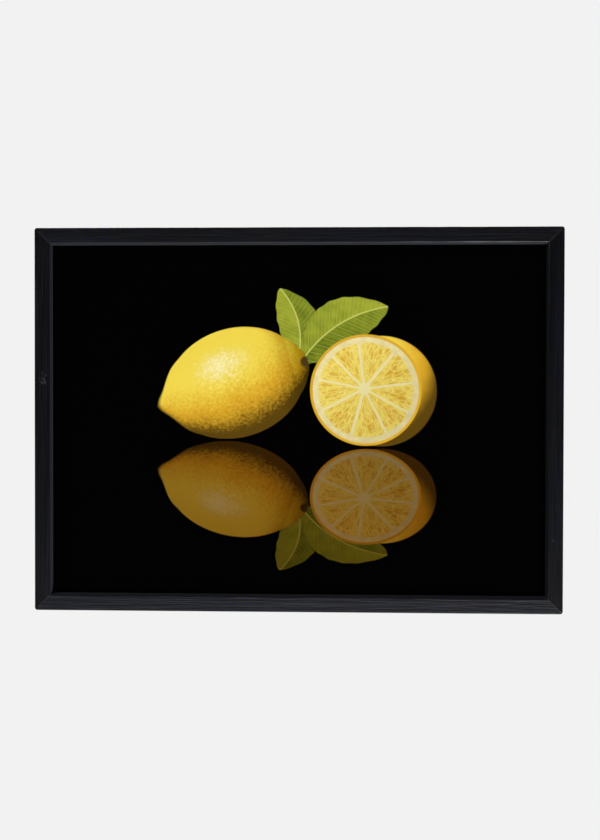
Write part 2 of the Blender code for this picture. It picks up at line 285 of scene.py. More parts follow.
def pick(kind, rule):
    """In edit mode, selects the faces, edges or vertices that the rule says yes to."""
    bpy.ops.mesh.select_mode(type=kind)
    bpy.ops.mesh.select_all(action="DESELECT")
    shape = bmesh.from_edit_mesh(bpy.context.object.data)
    items = dict(FACE=shape.faces, EDGE=shape.edges, VERT=shape.verts)[kind]
    chosen = [item for item in items if rule(item)]
    for item in chosen:
        item.select_set(True)
    bmesh.update_edit_mesh(bpy.context.object.data)
    return len(chosen)


def pick_back_rim(back):
    """In edit mode, selects the edges that lie as far back as a piece goes."""
    pick("EDGE", lambda edge: all(vertex.co.y > back - 1e-6 for vertex in edge.verts))


def slice_off(point, normal, keep_both=False):
    """In edit mode, cuts the whole mesh by a plane and drops what lies on the normal's side."""
    bpy.ops.mesh.select_all(action="SELECT")
    bpy.ops.mesh.bisect(
        plane_co=point, plane_no=normal, threshold=1e-7,
        use_fill=not keep_both, clear_outer=not keep_both,
    )


def name_start(name):
    """Names the new primitive and moves its place, turn and size into its mesh."""
    bpy.ops.object.transform_apply(location=True, rotation=True, scale=True)
    piece = bpy.context.object
    piece.name = piece.data.name = name
    return piece


def bevel_edges(width, segments):
    """In edit mode, rounds what is selected."""
    bpy.ops.mesh.bevel(offset=width, segments=segments, profile=0.5, affect="EDGES")


def extrude_by(*move):
    """In edit mode, draws what is selected out by x, y and z."""
    bpy.ops.mesh.extrude_region_move(TRANSFORM_OT_translate=dict(value=move))


def block(name, low, high):
    """A cube stretched between two corners, as a start for a piece."""
    choose()
    low, high = Vector(low), Vector(high)
    bpy.ops.mesh.primitive_cube_add(size=1, location=(low + high) / 2, scale=high - low)
    return name_start(name)


def lying_cylinder(name, radius, near, far, sides):
    """A cylinder about the Y axis between two depths, as a start for a round piece."""
    choose()
    bpy.ops.mesh.primitive_cylinder_add(
        vertices=sides, radius=radius, depth=far - near,
        location=(0, (near + far) / 2, 0), rotation=(math.pi / 2, 0, 0),
    )
    return name_start(name)


def apply_modifiers(piece):
    choose(piece)
    for modifier in list(piece.modifiers):
        bpy.ops.object.modifier_apply(modifier=modifier.name)


print("editing helpers ready")


# %% Mill the profile on a batten
def mill_batten(rail):
    """A straight length of moulding along X, its outer edge up, as for the top side."""
    top = MIDDLE.z + rail.edge
    end = rail.length / 2
    batten = block(
        "stained_rail_" + rail.name,
        (-end, FRONT_Y, top - REBATE_WALL),
        (end, FRONT_Y + WOOD_BACK, top),
    )
    edit(batten)
    lip_y = FRONT_Y + LIP_THICKNESS
    slice_off((0, lip_y, 0), (0, 1, 0), keep_both=True)
    pick("FACE", lambda face: face.normal.z < -0.9 and face.calc_center_median().y < lip_y)
    extrude_by(0, 0, REBATE_WALL - FACE_WIDTH)
    slope_faces = Vector((0, -SLOPE_WIDTH, -SLOPE_DEPTH)).normalized()
    slice_off((0, FRONT_Y, top - FACE_WIDTH + SLOPE_WIDTH), slope_faces)
    bpy.ops.mesh.select_all(action="SELECT")
    bpy.ops.mesh.normals_make_consistent(inside=False)
    return batten, top, end


def ease_long_edges(top):
    """Bevels every outward corner along the batten in edit, and leaves the rebate's inner one."""
    def is_long_corner(edge):
        a, b = (vertex.co for vertex in edge.verts)
        runs_along = abs(a.x - b.x) > 0.1
        inner_corner = abs(a.z - (top - REBATE_WALL)) < 0.1 * MM and a.y < FRONT_Y + WOOD_BACK - MM
        return runs_along and not inner_corner and edge.calc_face_angle() > 0.1
    count = pick("EDGE", is_long_corner)
    bevel_edges(ARRIS, 3)
    return count


def cut_mitres(top, end):
    """Cuts both ends at 45 degrees, each a hair short of the corner's plane, and rounds the tips."""
    for side in (-1, 1):
        slice_off((side * (end - JOINT_GAP * math.sqrt(2)), 0, top), (side, 0, -1))
        for angle in CORNER_FACETS:
            outward = Vector((side * math.sin(math.radians(angle)), 0, math.cos(math.radians(angle))))
            centre = Vector((side * (end - CORNER_RADIUS), 0, top - CORNER_RADIUS))
            slice_off(centre + outward * CORNER_RADIUS, outward)


def divide_finely():
    """Divides the strips along and across the grain, so that they can carry its relief."""
    def crosswise(edge):
        a, b = (vertex.co for vertex in edge.verts)
        return math.hypot(a.y - b.y, a.z - b.z)
    for cuts in LENGTHWISE_CUTS:
        pick("EDGE", lambda edge: crosswise(edge) < 1e-6)
        bpy.ops.mesh.subdivide(number_cuts=cuts)
    shape = bmesh.from_edit_mesh(bpy.context.object.data)
    counts = {round(crosswise(edge) / GRAIN_STEP) for edge in shape.edges}
    for count in sorted(counts - {0, 1}):
        pick("EDGE", lambda edge: round(crosswise(edge) / GRAIN_STEP) == count)
        bpy.ops.mesh.subdivide(number_cuts=count - 1)


rails = {}
for rail in RAILS:
    batten, top, end = mill_batten(rail)
    corners = ease_long_edges(top)
    cut_mitres(top, end)
    divide_finely()
    choose()
    rails[rail.name] = batten
    print(batten.name, "corners eased:", corners, "faces:", len(batten.data.polygons))

# %% [markdown]
# ## Slots for the corner wedges
#
# L-shaped steel wedges are shot across each mitre from behind and hold the joint, each in a narrow
# slot that it cuts for itself. A slightly larger L is taken out of both ends of every rail by a
# Boolean, while the rails are still plain.

# %% Cut the slots
WEDGE_NEAR = 2.8 * MM
WEDGE_FAR = 3.6 * MM
WEDGE_END = 8.2 * MM
WEDGE_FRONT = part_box("corner_wedge_top_a")[0][1] - FRONT_Y
WEDGE_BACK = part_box("corner_wedge_top_a")[1][1] - FRONT_Y
SLOT_CLEARANCE = 0.12 * MM
WEDGE_EASE = 0.06 * MM
WEDGE_TURNS = {-1: 0, 1: 90}  # degrees at a rail's left and right end


def place_copy(pattern, name, place, turn):
    """Copies a piece modelled about the origin to a place, turned about Y, in its own mesh."""
    copy = pattern.copy()
    copy.data = pattern.data.copy()
    copy.name = copy.data.name = name
    bpy.context.collection.objects.link(copy)
    copy.data.transform(Matrix.Translation(place) @ Matrix.Rotation(math.radians(turn), 4, "Y"))
    return copy


def model_wedge(name, growth, back):
    """An L with its outer corner towards the picture's top left corner, seen from the front."""
    near, far, end = WEDGE_NEAR - growth, WEDGE_FAR + growth, WEDGE_END + growth
    wedge = block(name, (near, WEDGE_FRONT - growth, -end), (far, back, -near))
    edit(wedge)
    slice_off((0, 0, -far), (0, 0, 1), keep_both=True)
    pick("FACE", lambda face: face.normal.x > 0.9 and face.calc_center_median().z > -far)
    extrude_by(end - far, 0, 0)
    choose()
    return wedge


pattern = model_wedge("slot_pattern", SLOT_CLEARANCE, WOOD_BACK + 1 * MM)
for rail in RAILS:
    for side, turn in WEDGE_TURNS.items():
        corner = MIDDLE + Vector((side * rail.length / 2, 0, rail.edge))
        cutter = place_copy(pattern, "slot_cutter", corner, turn)
        cut = rails[rail.name].modifiers.new("wedge_slot", "BOOLEAN")
        cut.operation = "DIFFERENCE"
        cut.solver = "MANIFOLD"
        cut.object = cutter
        apply_modifiers(rails[rail.name])
        bpy.data.objects.remove(cutter)
    print(rails[rail.name].name, "faces after its slots:", len(rails[rail.name].data.polygons))
bpy.data.objects.remove(pattern)

# %% [markdown]
# ## Open grain, as relief
#
# Ash has long pores that stay open under a thin stain: fine grooves along the wood, some
# centimetres long. They could be only a bump in the material, but a raking light shows them on the
# edges too, so the mesh itself gets them. A Displace modifier presses the surface in by a cloud
# texture, which is read through an empty that is stretched along the rail. A second, broader one
# gives the slight waviness that planing and hand sanding leave. Real pores are 0.2 to 0.3 mm wide;
# these are drawn about three times as wide, or the picture would not show them.

# %% Press the grain into the rails
PORE_SIZE = Vector((60, 0.9, 0.9)) * MM
PORE_DEPTH = 0.035 * MM
WAVE_SIZE = Vector((160, 6, 6)) * MM
WAVE_DEPTH = 0.02 * MM


def press_in(piece, name, size, depth, seed, contrast):
    """Presses a cloud pattern of the given size into a mesh, and never raises it."""
    guide = bpy.data.objects.new("pattern_guide", None)
    bpy.context.collection.objects.link(guide)
    guide.scale = size
    guide.location = (0.37 * seed, 0.11 * seed, 0.23 * seed)
    pattern = bpy.data.textures.new(name, "CLOUDS")
    pattern.noise_scale = 1
    pattern.noise_depth = 2
    pattern.contrast = contrast
    bpy.context.view_layer.update()
    modifier = piece.modifiers.new(name, "DISPLACE")
    modifier.texture = pattern
    modifier.texture_coords = "OBJECT"
    modifier.texture_coords_object = guide
    modifier.mid_level = 1
    modifier.strength = depth
    apply_modifiers(piece)
    bpy.data.objects.remove(guide)
    bpy.data.textures.remove(pattern)


for rail in RAILS:
    press_in(rails[rail.name], "waviness", WAVE_SIZE, WAVE_DEPTH, rail.seed, 1)
    press_in(rails[rail.name], "pores", PORE_SIZE, PORE_DEPTH, rail.seed, 2)
print("grain pressed in, pores %.2f mm deep" % (PORE_DEPTH / MM))

# %% [markdown]
# ## Join the four sides
#
# Every rail was milled as if for the top. In edit mode the whole mesh is turned about the picture's
# middle, so each object stays at the origin and only its mesh moves. Without a window the rotate
# operator needs its centre given and turns the other way, so the box is measured against the
# solid's after each turn.

# %% Turn each rail to its side
SMOOTH_ANGLE = math.radians(32)


def finish_piece(piece, material, slot, *nodes):
    """Shades a piece, gives it its material, and ties it to the frame in place of its solids."""
    choose(piece)
    bpy.ops.object.shade_smooth_by_angle(angle=SMOOTH_ANGLE)
    piece.data.materials.clear()
    piece.data.materials.append(material)
    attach(piece, "root")
    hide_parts(*nodes)


def dress(node, material):
    """Gives a solid that stays a material of its own."""
    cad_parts[node].material_slots[0].material = material
    print(node, "is", material.name, "of", len(material.node_tree.nodes), "nodes")


def print_fit(piece, node):
    """Prints how far a piece's box is from its solid's box at most."""
    places = [vertex.co for vertex in piece.data.vertices]
    ours = [[end(place[axis] for place in places) for axis in range(3)] for end in (min, max)]
    most = max(abs(a - b) for mine, solid in zip(ours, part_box(node)) for a, b in zip(mine, solid))
    print(piece.name, "is within %.2f mm of its solid's box" % (most / MM))


for rail in RAILS:
    edit(rails[rail.name])
    bpy.ops.transform.rotate(
        value=math.radians(-rail.turn), orient_axis="Y", center_override=MIDDLE
    )
    choose()
    print_fit(rails[rail.name], "rail_" + rail.name)

# %% [markdown]
# ## Black-stained ash
#
# The rails are ash, stained black and sealed with a thin satin lacquer. The stain hides the wood's
# colour but not its grain: streaks a shade lighter or darker run along each rail, shallow furrows
# catch the light, and the pores catch less. Where two rails meet, sanding has worn the stain to a
# fine lighter line. Object coordinates are swapped for each direction, so the grain always runs along
# its rail. The slope and inner wall are lighter, partly a thinner stain and partly painted light, and
# each rail's face and lip are scaled lighter or darker as painted light and shade.

# %% Stained wood
STAIN_DARK = "030304"
STAIN_LIGHT = "15161D"
# The next colour is the thin stain of the knot flecks; on the inner lip it is also painted light.
STAIN_THIN_AND_LIP_LIGHT = "2E2F34"
STAIN_WORN = "2C2A29"
PORE_BLACK = "020203"
BACK_STAIN_DARK = "1E1712"
BACK_STAIN_LIGHT = "4A3A2C"
COOL_TINT = (0.86, 0.98, 1.12, 1)
WARM_TINT = (1.12, 1.02, 0.90, 1)
LEVEL_SHEEN, UPRIGHT_SHEEN = 0.31, 0.18
LEVEL_STREAKS, UPRIGHT_STREAKS = (0.40, 0.62), (0.43, 0.59)  # noise from darkest to lightest streak

# Scales are per millimetre: along the grain, across it, and into the wood.
SWAY_SCALE = (0.012, 0.05, 0.05)
FLECK_SCALE = (0.34, 0.6, 0.6)
GRAIN_PATTERNS = (  # scale, detail and roughness
    ((0.010, 1.2, 1.2), 5, 0.65),  # streaks
    ((0.07, 2.1, 2.1), 2, 0.5),  # pores
    ((0.004, 0.22, 0.22), 2, 0.5),  # rings
    ((0.02, 0.06, 0.06), 2, 0.5),  # patches
    ((0.03, 0.75, 0.75), 1, 0.5),  # furrows
)
SWAY = 1.6  # millimetres that the grain swings sideways along a rail, and around a knot

# Places in millimetres: depths, and the inner ends of the flat face and of the whole moulding.
FRONT = FRONT_Y * MM_PER_UNIT
SLOPE_BACK = (FRONT_Y + SLOPE_DEPTH) * MM_PER_UNIT
WOOD_END = (FRONT_Y + WOOD_BACK) * MM_PER_UNIT
FACE_END = (FACE_WIDTH - SLOPE_WIDTH) * MM_PER_UNIT
LIP_END = FACE_WIDTH * MM_PER_UNIT


def stained_ash(name, upright, tone, lip_light_tone, knot=None):
    """Open-grained ash under black stain and satin lacquer: dark, fine-streaked, softly shiny."""
    sheen = UPRIGHT_SHEEN if upright else LEVEL_SHEEN
    material, shader, place = new_material(name, IOR=1.42, Specular_IOR_Level=sheen)
    x, y, z = add("SeparateXYZ", place).node.outputs
    along, across = (z, x) if upright else (x, z)
    if knot:
        knot_x, knot_z, knot_radius = (value * MM_PER_UNIT for value in knot)
        offset = add("VectorMath SUBTRACT", place, (knot_x, FRONT, knot_z))
        offset = add("VectorMath MULTIPLY", offset, (1 / knot_radius, 0.2, 0.7 / knot_radius))
        knot_near = add("VectorMath LENGTH", offset, output="Value")
        knot_share = add("MapRange", knot_near, 1, 0, **SOFT)
        across = add("Math MULTIPLY_ADD", knot_share, SWAY, across)
    grain = add("CombineXYZ", along, across, y)
    sway_place = add("VectorMath MULTIPLY", grain, SWAY_SCALE)
    sway = add("TexNoise", sway_place, Scale=1, Detail=1)
    grain = add("CombineXYZ", along, add("Math MULTIPLY_ADD", sway, SWAY, across), y)
    streaks, pores, rings, patches, furrows = (
        add("TexNoise", add("VectorMath MULTIPLY", grain, scale),
            Scale=1, Detail=detail, Roughness=roughness)
        for scale, detail, roughness in GRAIN_PATTERNS
    )
    pore_mask = add("MapRange", pores, 0.56, 0.68, **SOFT)

    streak_share = add("MapRange", streaks, *(UPRIGHT_STREAKS if upright else LEVEL_STREAKS))
    colour = add("MixRGB", streak_share, STAIN_DARK, STAIN_LIGHT)
    tint = add("MixRGB", add("MapRange", patches, 0.35, 0.65), COOL_TINT, WARM_TINT)
    colour = add("MixRGB MULTIPLY", 1.0, colour, tint)
    # The rail's tone scales its colour lighter or darker: painted light and shade for how the lamps
    # fall on each side, over the rings' own variation.
    ring_and_light_tone = add("MapRange", rings, 0.3, 0.7, 0.75 * tone, 1.25 * tone)
    colour = add("VectorMath SCALE", colour, Scale=ring_and_light_tone)
    colour = add("MixRGB", add("Math MULTIPLY", pore_mask, 0.6), colour, PORE_BLACK)
    if knot:
        fleck_place = add("VectorMath MULTIPLY", grain, FLECK_SCALE)
        flecks = add("TexNoise", fleck_place, Scale=1, Detail=3)
        below = add("SeparateXYZ", offset, output="Z")
        fleck_tone = add("MapRange", below, 0.3, -0.3, 0.35, 1)
        fleck_share = add("Math MULTIPLY", add("MapRange", flecks, 0.44, 0.58), fleck_tone)
        fleck_share = add("Math MULTIPLY", add("MapRange", knot_share, 0, 0.4), fleck_share)
        colour = add("MixRGB", fleck_share, colour, STAIN_THIN_AND_LIP_LIGHT)

    from_side = add("Math SUBTRACT", WIDTH / 2 * MM_PER_UNIT, add("Math ABSOLUTE", x))
    height = add("Math ABSOLUTE", add("Math SUBTRACT", z, MIDDLE.z * MM_PER_UNIT))
    from_top = add("Math SUBTRACT", HEIGHT / 2 * MM_PER_UNIT, height)
    from_mitre = add("Math ABSOLUTE", add("Math SUBTRACT", from_side, from_top))
    worn = add("MapRange", from_mitre, 0.8, 0.2, 0, 0.55)
    worn = add("MapRange", add("Math MINIMUM", from_side, from_top), 1.5, 3.5, 0, worn)
    colour = add("MixRGB", worn, colour, STAIN_WORN)

    # The slope and inner wall get a lighter colour, scaled per rail: partly a thinner stain, partly
    # painted light and shade on the lip.
    inward = from_side if upright else from_top
    wall_inward = add("MapRange", inward, LIP_END - 0.5, LIP_END - 0.1)
    wall_depth = add("MapRange", y, SLOPE_BACK - 0.2, SLOPE_BACK + 0.2)
    on_slope = add("MapRange", inward, FACE_END - 0.1, FACE_END + 0.3, 0, 0.5)
    on_lip = add("Math MAXIMUM", add("Math MULTIPLY", wall_inward, wall_depth), on_slope)
    lip_stain_and_light = [value * lip_light_tone for value in linear(STAIN_THIN_AND_LIP_LIGHT)[:3]] + [1]
    colour = add("MixRGB", on_lip, colour, lip_stain_and_light)
    on_back = add("MapRange", y, WOOD_END - 0.7, WOOD_END - 0.2)
    back_colour = add("MixRGB", streak_share, BACK_STAIN_DARK, BACK_STAIN_LIGHT)
    colour = add("MixRGB", on_back, colour, back_colour)

    before_arris = add("MapRange", inward, FACE_END - 0.7, FACE_END - 0.4)
    after_arris = add("MapRange", inward, FACE_END + 0.6, FACE_END + 0.3)
    near_side = add("MapRange", inward, 0.5, 0.2)
    behind_face = add("MapRange", y, FRONT + 0.6, FRONT + 1.2)
    gloss = add("MapRange", streaks, 0.3, 0.7, 0.4, 0.3)
    for share, roughening in (
        (pore_mask, 0.2),
        (add("Math MULTIPLY", before_arris, after_arris), -0.06),
        (add("Math MULTIPLY", near_side, behind_face), 0.5),
        (on_back, 0.3),
    ):
        gloss = add("Math MULTIPLY_ADD", share, roughening, gloss)
    relief = add("Bump", Strength=0.85, Distance=0.3 * MM, Height=furrows)
    feed(shader, Base_Color=colour, Roughness=gloss, Normal=relief)
    return material


# Each rail's face and lip are scaled lighter or darker: painted light and shade for how the light
# falls on that side.
RAIL_LIGHT_AND_SHADE = dict(top=(0.78, 1.06), bottom=(1.03, 1.6), left=(0.62, 1.0), right=(0.48, 0.36))  # face, lip
KNOTS = dict(left=(-0.2126, -0.1185, 4.8 * MM), right=(0.2114, -0.2517, 1.8 * MM))  # place, radius
for rail in RAILS:
    upright = rail.turn % 180 != 0
    wood = stained_ash("black_stained_ash_" + rail.name, upright, *RAIL_LIGHT_AND_SHADE[rail.name],
                       KNOTS.get(rail.name))
    finish_piece(rails[rail.name], wood, "stained_wood", "rail_" + rail.name)
print("stained", len(RAILS), "rails")

# %% [markdown]
# ## The print: a still life drawn by formulas
#
# The sheet shows a lemon still life on black: a whole lemon, a cut half and two leaves, doubled by
# their dim olive reflection in a dark table top. Nothing is painted into an image. Each form is a
# formula in millimetres on the sheet: it gives a mask, a surface direction to light, and a colour.
# The reflection costs nothing extra, because the height above the table is folded over: a point
# below the table's line looks up what stands as far above it.

# %% Colours and layout of the still life
ART_LIGHT = Vector((-0.42, 0.62, 0.66)).normalized()  # from the upper left, in front of the sheet
FLAT_REFLECTION = 0.86  # the reflection is this much shorter than what it mirrors
TABLE_BLACK = "000000"
PEEL_DARK = "5A420E"
PEEL_MID = "DCA92A"
PEEL_LIGHT = "F5DA4E"
PEEL_GREEN = "A8AE2C"
PEEL_GLINT = "FFF6BE"
STEM_BROWN = "4A3616"
PITH = "F6E6A6"
PULP_DEEP = "D8A322"
PULP_LIGHT = "F7DF6C"
PULP_WALL = "F4E8A8"
LEAF_DARK = "4E6212"
LEAF_LIGHT = "A3AC34"
LEAF_VEIN = "C6C860"
REFLECTION_NEAR = (0.29, 0.215, 0.15, 1)
REFLECTION_FAR = (0.19, 0.12, 0.06, 1)

WHOLE_LEMON = dict(middle=(-52, 31), turn=math.radians(197), length=59, radius=46)
HALF_LEMON = dict(middle=(57, 25), turn=math.radians(-8), radius=47)
LONG_LEAF = dict(root=(2, 47), turn=math.radians(33), length=88, width=21, bend=-10)
SHORT_LEAF = dict(root=(0, 50), turn=math.radians(104), length=62, width=17, bend=8)
WHOLE_TABLE_LINE = -17
HALF_TABLE_LINE = -23


# %% Helpers that draw on the sheet
def above_table(u, v, table_line):
    """Folds the sheet at the table's line: gives the point to draw, and a tint if it is mirrored."""
    height = add("Math SUBTRACT", v, table_line)
    mirrored = add("Math LESS_THAN", height, 0)
    stretch = add("MapRange", mirrored, 0, 1, 1, 1 / FLAT_REFLECTION)
    folded = add("Math MULTIPLY_ADD", add("Math ABSOLUTE", height), stretch, table_line)
    depth = add("MapRange", height, -8, -110)
    dimming = add("MixRGB", depth, REFLECTION_NEAR, REFLECTION_FAR)
    tint = add("MixRGB", mirrored, (1, 1, 1, 1), dimming)
    return add("CombineXYZ", u, folded, 0), tint


def on_form(point, middle, turn):
    """The point's place along and across a form that lies turned about its middle."""
    return add("Mapping", point, vector_type="TEXTURE", Location=(*middle, 0), Rotation=(0, 0, turn))


def peel_colour(normal, turn, surface):
    """Lemon peel from shade to light, with its pitted glints, lit in the form's own axes."""
    to_form = Matrix.Rotation(-turn, 3, "Z")
    half_way = (ART_LIGHT + Vector((0, 0, 1))).normalized()
    facing, shine = (add("VectorMath DOT_PRODUCT", normal, to_form @ ray, output="Value")
                     for ray in (ART_LIGHT, half_way))
    glint = add("Math POWER", add("Math MAXIMUM", shine, 0), 42)
    mottle = add("TexNoise", surface, Scale=0.045, Detail=3)
    facing = add("Math MULTIPLY_ADD", add("Math SUBTRACT", mottle, 0.5), 0.3, facing)
    low = add("MapRange", facing, -0.25, 0.42, **SOFT)
    high = add("MapRange", facing, 0.3, 0.85, **SOFT)
    colour = add("MixRGB", low, PEEL_DARK, PEEL_MID)
    colour = add("MixRGB", high, colour, PEEL_LIGHT)
    return add("MixRGB", add("Math MULTIPLY", glint, 0.8), colour, PEEL_GLINT)


print("still life laid out:", WHOLE_LEMON, HALF_LEMON)


# %% [markdown]
# A lemon is a turned shape: an ellipse about its long axis, with a nub at each end. The square of its
# radius is a sum of parabolas along the axis, which run out softly so that each nub grows out of the
# fruit. The surface direction then needs no trigonometry: along the axis it is the parabolas' slope,
# across it the distance from the axis, and towards the viewer what is left of the radius.

# %% Draw a whole lemon
def draw_whole_lemon(point, middle, turn, length, radius):
    place = on_form(point, middle, turn)
    along, across, _ = add("SeparateXYZ", place).node.outputs
    swells = ((0, length, radius), (0.93 * length, 0.23 * length, 0.24 * radius),
              (-0.96 * length, 0.12 * length, 0.22 * radius))
    square, slope = 0, 0
    for centre, half_length, half_width in swells:
        reach = add("Math DIVIDE", add("Math SUBTRACT", along, centre), half_length)
        swell = add("Math SUBTRACT", 1, add("Math MULTIPLY", reach, reach))
        inside = add("MapRange", swell, -0.3, 0.3)
        part = add("Math MULTIPLY", add("Math SMOOTH_MAX", swell, 0, 0.3), half_width ** 2)
        lean = add("Math MULTIPLY", reach, half_width ** 2 / half_length)
        square = add("Math ADD", part, square)
        slope = add("Math MULTIPLY_ADD", lean, inside, slope)
    left = add("Math SUBTRACT", square, add("Math MULTIPLY", across, across))
    mask = add("MapRange", left, 0, 1.1 * radius)
    towards = add("Math SQRT", add("Math MAXIMUM", left, 0))
    surface = add("CombineXYZ", along, across, towards)
    bumps = add("TexNoise", surface, Scale=0.42, Detail=1, output="Color")
    ripple = add("VectorMath SUBTRACT", bumps, (0.5, 0.5, 0.5))
    normal = add("VectorMath NORMALIZE", add("CombineXYZ", slope, across, towards))
    normal = add("VectorMath MULTIPLY_ADD", ripple, (0.55, 0.55, 0.55), normal)
    colour = peel_colour(add("VectorMath NORMALIZE", normal), turn, surface)
    greenness = add("MapRange", along, -0.55 * length, -0.98 * length, 0, 0.75)
    green = add("MixRGB MULTIPLY", 1.0, colour, PEEL_GREEN)
    colour = add("MixRGB", greenness, colour, green)
    button = add("VectorMath DISTANCE", place, (-1.04 * length, 0, 0), output="Value")
    return mask, add("MixRGB", add("MapRange", button, 5.5, 3.5), colour, STEM_BROWN)


print("whole lemon ready")


# %% [markdown]
# The cut half is rings and wedges: the peel's rim, a pale pith, and nine segments parted by thin
# walls. A segment's edge is the smooth least of three distances (to its walls, to the pith and to the
# core), which rounds its corners. Inside, long cells run out from the core as the juice sacs do.

# %% Draw a cut half
SEGMENTS = 9
SACS_AROUND = 68
CORE = (-1.5, 1.0, 0)
PEEL_AND_PITH = 8.3  # millimetres, as all on the sheet
BODY_SHIFT = (13, 1, 0)  # how far the uncut body shows beyond the cut, along and across


def draw_half_lemon(point, middle, turn, radius):
    place = on_form(point, middle, turn)
    from_middle = add("VectorMath LENGTH", place, output="Value")

    core = add("VectorMath SUBTRACT", place, CORE)
    core_along, core_across, _ = add("SeparateXYZ", core).node.outputs
    out = add("VectorMath LENGTH", core, output="Value")
    angle = add("Math ARCTAN2", core_across, core_along)
    uneven = add("Math SINE", add("Math MULTIPLY_ADD", angle, 2, 0.8))
    warped = add("Math MULTIPLY_ADD", uneven, 0.09, angle)
    turns = add("Math MULTIPLY_ADD", warped, SEGMENTS / math.tau, 0.5)
    in_segment = add("Math ABSOLUTE", add("Math SUBTRACT", add("Math FRACT", turns), 0.5))
    from_wall = add("Math MULTIPLY", add("Math SUBTRACT", 0.5, in_segment), out)
    from_wall = add("Math MULTIPLY_ADD", from_wall, math.tau / SEGMENTS, -0.8)
    wobble = add("TexNoise", place, Scale=0.16, Detail=2)
    to_pith = add("Math SUBTRACT", radius - PEEL_AND_PITH, from_middle)
    to_pith = add("Math MULTIPLY_ADD", wobble, 2.4, to_pith)
    inset = add("Math SMOOTH_MIN", from_wall, to_pith, 5)
    inset = add("Math SMOOTH_MIN", inset, add("Math SUBTRACT", out, 4.2), 3)
    flesh = add("MapRange", inset, -0.3, 0.7, **SOFT)

    sac_turns = add("Math MULTIPLY", angle, SACS_AROUND / math.tau)
    sac_place = add("CombineXYZ", add("Math MULTIPLY", out, 0.13), sac_turns, 0)
    sacs = add("TexVoronoi", sac_place, feature="DISTANCE_TO_EDGE", Scale=1)
    sac_tone = add("TexVoronoi", sac_place, feature="F1", Scale=1, output="Color")
    sac_light = add("Math MULTIPLY", add("MapRange", sacs, 0.02, 0.22, 1, 0), 0.55)
    pulp_share = add("Math MULTIPLY_ADD", add("SeparateColor", sac_tone), 0.5, sac_light)
    pulp_share = add("Math ADD", pulp_share, add("MapRange", inset, 0, 9, 0.35, 0))
    pulp = add("MixRGB", pulp_share, PULP_DEEP, PULP_LIGHT)
    wet = add("TexNoise", place, Scale=0.55, Detail=1)
    pulp = add("MixRGB", add("MapRange", wet, 0.66, 0.74), pulp, PEEL_GLINT)

    pith_tone = add("MapRange", wobble, 0.3, 0.7, 0.86, 1.02)
    colour = add("VectorMath SCALE", linear(PITH)[:3], Scale=pith_tone)
    colour = add("MixRGB", add("MapRange", to_pith, 0, 4), colour, PULP_WALL)
    colour = add("MixRGB", flesh, colour, pulp)
    slant = add("VectorMath DOT_PRODUCT", place, (-0.7, 0.7, 0), output="Value")
    shade = add("MapRange", slant, -radius, radius, 0.72, 1)
    colour = add("VectorMath SCALE", colour, Scale=shade)
    rim = add("MapRange", from_middle, radius - 2.9, radius - 2.2)
    colour = add("MixRGB", rim, colour, PEEL_MID)
    face = add("MapRange", from_middle, radius, radius - 0.8)

    dome = add("VectorMath SUBTRACT", place, BODY_SHIFT)
    dome_far = add("VectorMath LENGTH", dome, output="Value")
    flat = add("VectorMath SCALE", dome, Scale=1 / radius)
    square = add("VectorMath DOT_PRODUCT", flat, flat, output="Value")
    towards = add("Math SQRT", add("Math MAXIMUM", add("Math SUBTRACT", 1, square), 0))
    normal = add("VectorMath ADD", flat, add("CombineXYZ", 0, 0, towards))
    peel = peel_colour(add("VectorMath NORMALIZE", normal), turn, place)
    body = add("MapRange", dome_far, radius - 0.5, radius - 1.3)
    return add("Math MAXIMUM", body, face), add("MixRGB", face, peel, colour)


print("cut half ready")


# %% [markdown]
# A leaf is a lens along a bent midrib. Its side veins are a saw-tooth pattern that leans towards the
# tip, and one half catches more light than the other, because a leaf is folded along its midrib.

# %% Draw a leaf
def draw_leaf(point, root, turn, length, width, bend):
    place = on_form(point, root, turn)
    along, across, _ = add("SeparateXYZ", place).node.outputs
    share = add("Math DIVIDE", along, length, use_clamp=True)
    swell = add("Math MULTIPLY", share, add("Math SUBTRACT", 1, share))
    across = add("Math MULTIPLY_ADD", swell, 4 * bend, across)
    fullness = add("Math POWER", add("Math MULTIPLY", swell, 4), 0.8)
    wave = add("Math MULTIPLY", add("Math SINE", add("Math MULTIPLY", along, 0.55)), 0.35)
    half_width = add("Math MULTIPLY_ADD", fullness, width, wave)
    side = add("Math ABSOLUTE", across)
    mask = add("MapRange", add("Math SUBTRACT", half_width, side), 0, 0.8)
    mask = add("Math MULTIPLY", mask, add("Math GREATER_THAN", fullness, 0.01))

    lean = add("Math MULTIPLY_ADD", side, -0.75, along)
    repeat = add("Math FRACT", add("Math MULTIPLY", lean, 0.13))
    from_vein = add("Math ABSOLUTE", add("Math SUBTRACT", repeat, 0.5))
    vein = add("MapRange", from_vein, 0.07, 0.015, 0, 0.5)
    puff = add("MapRange", from_vein, 0, 0.5, -0.12, 0.14)
    midrib = add("MapRange", side, 0.9, 0.4)
    upper_half = add("Math GREATER_THAN", across, 0)
    mottle = add("TexNoise", place, Scale=0.09, Detail=3)
    tone = add("Math MULTIPLY_ADD", upper_half, 0.42, add("Math ADD", mottle, puff))
    tone = add("Math ADD", tone, add("MapRange", share, 0, 1, -0.35, 0.05))
    colour = add("MixRGB", tone, LEAF_DARK, LEAF_LIGHT, use_clamp=True)
    return mask, add("MixRGB", add("Math MAXIMUM", vein, midrib), colour, LEAF_VEIN)


print("leaves ready")


# %% Compose the print
STANDING_AT = (  # where a group meets the table, and its forms from behind to the front
    (WHOLE_TABLE_LINE,
     (draw_leaf, SHORT_LEAF), (draw_leaf, LONG_LEAF), (draw_whole_lemon, WHOLE_LEMON)),
    (HALF_TABLE_LINE, (draw_half_lemon, HALF_LEMON)),
)


